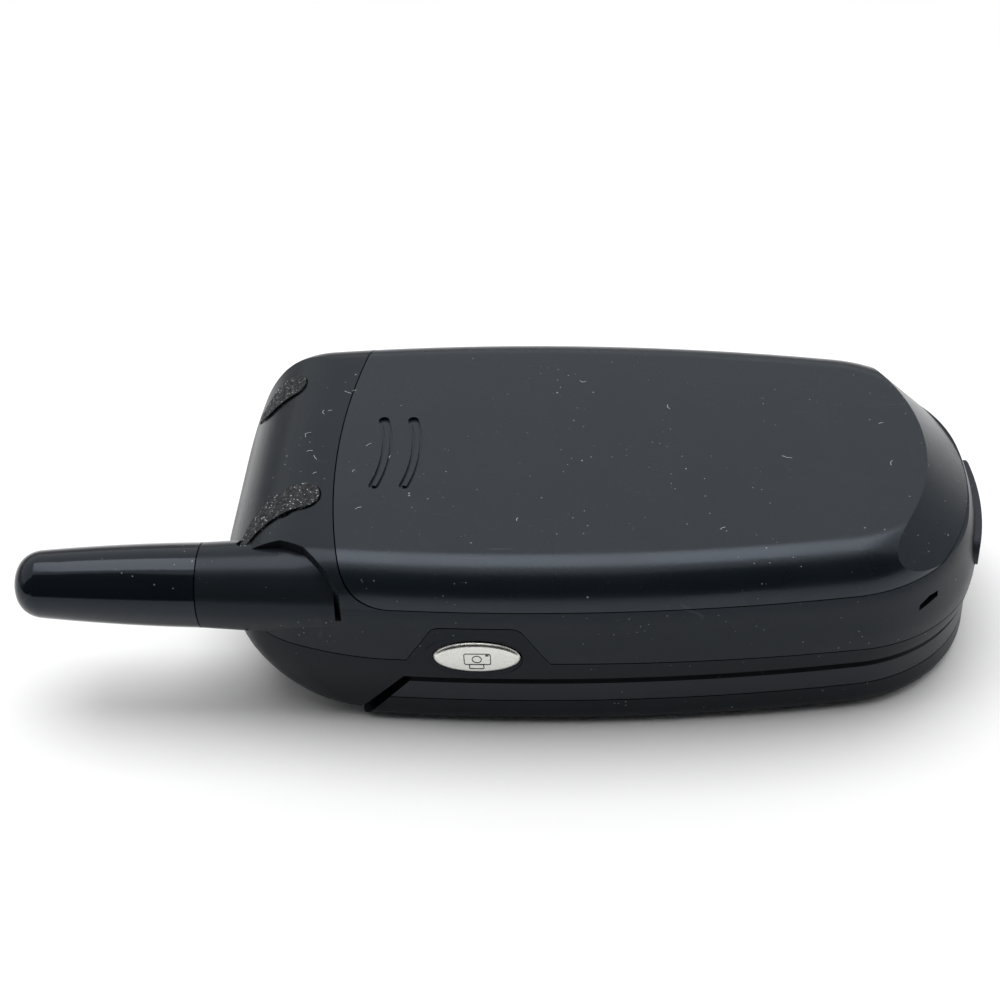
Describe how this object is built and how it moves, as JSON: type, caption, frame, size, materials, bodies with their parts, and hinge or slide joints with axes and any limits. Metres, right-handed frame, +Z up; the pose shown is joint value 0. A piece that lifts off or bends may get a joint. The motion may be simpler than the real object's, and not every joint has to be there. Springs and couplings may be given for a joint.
{
  "type": "flip phone",
  "caption": "Closed clamshell phone with a barrel-shaped body, rolled hinge end, stub antenna, hinged lid, slide-off battery pack, side keys and keypad.",
  "frame": {"origin": "middle of the lid's outer flat face, which the closed phone rests on", "axes": "+X from the hinge to the charging end, -X to the antenna, -Y towards the side with the antenna and the camera key, +Z up through the battery face"},
  "size_m": [0.1139, 0.048, 0.0243],
  "materials": {
    "housing_gloss": "moulded and lacquered gloss black",
    "inner_plastic": "moulded black, low gloss",
    "back_satin": "satin black lacquer with fine scratches",
    "antenna_gloss": "gloss black overmould",
    "grip_rubber": "textured rubber with pale flecks",
    "trim_rubber": "smooth soft rubber",
    "chrome_key": "bright chrome plating",
    "side_key_plastic": "satin black",
    "key_plastic": "smooth moulded caps with pale printed marks",
    "steel": "plain steel",
    "brass": "gold-flashed brass",
    "tray_plastic": "fine-grained moulded black",
    "cell_foil": "drawn aluminium can in a clear wrap",
    "board_lacquer": "green solder lacquer",
    "dome_foil": "white film",
    "flex_film": "amber film",
    "window_clear": "clear hard-coated acrylic, smoked",
    "display_dark": "switched-off display",
    "module_black": "black moulded module",
    "motor_steel": "plain steel can"
  },
  "bodies": {
    "housing": {"rear_housing": "housing_gloss", "front_housing": "housing_gloss", "housing_screws": "steel", "grip_pad_near": "grip_rubber", "grip_pad_far": "grip_rubber", "antenna_cap": "antenna_gloss", "antenna_ferrule": "brass", "antenna_coil": "brass", "keypad_dome_sheet": "dome_foil", "side_switches": "tray_plastic", "main_board": "board_lacquer", "shield_can": "steel", "battery_connector": "tray_plastic", "io_connector": "tray_plastic", "headset_jack": "tray_plastic", "microphone": "module_black", "vibration_motor": "motor_steel", "hinge_cam_pin": "steel", "hinge_bush": "tray_plastic"},
    "lid": {"lid_outer_shell": "housing_gloss", "lid_inner_shell": "inner_plastic", "lid_screws": "steel", "lid_bumpers": "trim_rubber", "lid_board": "board_lacquer", "main_window": "window_clear", "main_display": "display_dark", "outer_window": "window_clear", "outer_display": "display_dark", "camera_window": "window_clear", "camera_module": "module_black", "earpiece": "module_black", "hinge_spring_can": "steel", "flex_cable": "flex_film"},
    "battery_pack": {"battery_cover": "back_satin", "battery_tray": "tray_plastic", "battery_cell": "cell_foil", "battery_contacts": "brass"},
    "camera_key": {"camera_key": "chrome_key"},
    "volume_rocker": {"volume_rocker": "side_key_plastic"},
    "io_cover": {"io_cover": "trim_rubber"},
    "key_one": {"key_one": "key_plastic"},
    "key_two": {"key_two": "key_plastic"},
    "key_three": {"key_three": "key_plastic"},
    "key_four": {"key_four": "key_plastic"},
    "key_five": {"key_five": "key_plastic"},
    "key_six": {"key_six": "key_plastic"},
    "key_seven": {"key_seven": "key_plastic"},
    "key_eight": {"key_eight": "key_plastic"},
    "key_nine": {"key_nine": "key_plastic"},
    "key_star": {"key_star": "key_plastic"},
    "key_zero": {"key_zero": "key_plastic"},
    "key_hash": {"key_hash": "key_plastic"},
    "soft_key_left": {"soft_key_left": "key_plastic"},
    "soft_key_right": {"soft_key_right": "key_plastic"},
    "send_key": {"send_key": "key_plastic"},
    "end_key": {"end_key": "key_plastic"},
    "clear_key": {"clear_key": "key_plastic"},
    "ok_key": {"ok_key": "key_plastic"},
    "nav_ring": {"nav_ring": "key_plastic"}
  },
  "joints": [
    {"name": "lid_hinge", "type": "hinge", "parent": "housing", "child": "lid", "pos_m": [-0.0375, 0, 0.0063], "axis": [0, 1, 0], "range_deg": [0, 155]},
    {"name": "battery_slide", "type": "slide", "parent": "housing", "child": "battery_pack", "axis": [1, 0, 0], "range_m": [0, 0.003]},
    {"name": "camera_key_press", "type": "slide", "parent": "housing", "child": "camera_key", "axis": [0, 1, 0], "range_m": [0, 0.0004], "stiffness_N_per_m": 800, "springref_m": -0.0001},
    {"name": "volume_rock", "type": "hinge", "parent": "housing", "child": "volume_rocker", "pos_m": [-0.008, 0.0225, 0.0121], "axis": [0, 0, 1], "range_deg": [-2, 2], "stiffness_Nm_per_rad": 0.25},
    {"name": "io_cover_swing", "type": "hinge", "parent": "housing", "child": "io_cover", "pos_m": [0.0444, 0.0085, 0.0139], "axis": [0, 0, 1], "range_deg": [0, 100]},
    {"name": "key_one_press", "type": "slide", "parent": "housing", "child": "key_one", "axis": [0, 0, 1], "range_m": [0, 0.0003], "stiffness_N_per_m": 500, "springref_m": -0.0001},
    {"name": "key_two_press", "type": "slide", "parent": "housing", "child": "key_two", "axis": [0, 0, 1], "range_m": [0, 0.0003], "stiffness_N_per_m": 500, "springref_m": -0.0001},
    {"name": "key_three_press", "type": "slide", "parent": "housing", "child": "key_three", "axis": [0, 0, 1], "range_m": [0, 0.0003], "stiffness_N_per_m": 500, "springref_m": -0.0001},
    {"name": "key_four_press", "type": "slide", "parent": "housing", "child": "key_four", "axis": [0, 0, 1], "range_m": [0, 0.0003], "stiffness_N_per_m": 500, "springref_m": -0.0001},
    {"name": "key_five_press", "type": "slide", "parent": "housing", "child": "key_five", "axis": [0, 0, 1], "range_m": [0, 0.0003], "stiffness_N_per_m": 500, "springref_m": -0.0001},
    {"name": "key_six_press", "type": "slide", "parent": "housing", "child": "key_six", "axis": [0, 0, 1], "range_m": [0, 0.0003], "stiffness_N_per_m": 500, "springref_m": -0.0001},
    {"name": "key_seven_press", "type": "slide", "parent": "housing", "child": "key_seven", "axis": [0, 0, 1], "range_m": [0, 0.0003], "stiffness_N_per_m": 500, "springref_m": -0.0001},
    {"name": "key_eight_press", "type": "slide", "parent": "housing", "child": "key_eight", "axis": [0, 0, 1], "range_m": [0, 0.0003], "stiffness_N_per_m": 500, "springref_m": -0.0001},
    {"name": "key_nine_press", "type": "slide", "parent": "housing", "child": "key_nine", "axis": [0, 0, 1], "range_m": [0, 0.0003], "stiffness_N_per_m": 500, "springref_m": -0.0001},
    {"name": "key_star_press", "type": "slide", "parent": "housing", "child": "key_star", "axis": [0, 0, 1], "range_m": [0, 0.0003], "stiffness_N_per_m": 500, "springref_m": -0.0001},
    {"name": "key_zero_press", "type": "slide", "parent": "housing", "child": "key_zero", "axis": [0, 0, 1], "range_m": [0, 0.0003], "stiffness_N_per_m": 500, "springref_m": -0.0001},
    {"name": "key_hash_press", "type": "slide", "parent": "housing", "child": "key_hash", "axis": [0, 0, 1], "range_m": [0, 0.0003], "stiffness_N_per_m": 500, "springref_m": -0.0001},
    {"name": "soft_key_left_press", "type": "slide", "parent": "housing", "child": "soft_key_left", "axis": [0, 0, 1], "range_m": [0, 0.0003], "stiffness_N_per_m": 500, "springref_m": -0.0001},
    {"name": "soft_key_right_press", "type": "slide", "parent": "housing", "child": "soft_key_right", "axis": [0, 0, 1], "range_m": [0, 0.0003], "stiffness_N_per_m": 500, "springref_m": -0.0001},
    {"name": "send_key_press", "type": "slide", "parent": "housing", "child": "send_key", "axis": [0, 0, 1], "range_m": [0, 0.0003], "stiffness_N_per_m": 500, "springref_m": -0.0001},
    {"name": "end_key_press", "type": "slide", "parent": "housing", "child": "end_key", "axis": [0, 0, 1], "range_m": [0, 0.0003], "stiffness_N_per_m": 500, "springref_m": -0.0001},
    {"name": "clear_key_press", "type": "slide", "parent": "housing", "child": "clear_key", "axis": [0, 0, 1], "range_m": [0, 0.0003], "stiffness_N_per_m": 500, "springref_m": -0.0001},
    {"name": "ok_key_press", "type": "slide", "parent": "housing", "child": "ok_key", "axis": [0, 0, 1], "range_m": [0, 0.0003], "stiffness_N_per_m": 500, "springref_m": -0.0001},
    {"name": "nav_ring_press", "type": "slide", "parent": "housing", "child": "nav_ring", "axis": [0, 0, 1], "range_m": [0, 0.0003], "stiffness_N_per_m": 500, "springref_m": -0.0001}
  ]
}
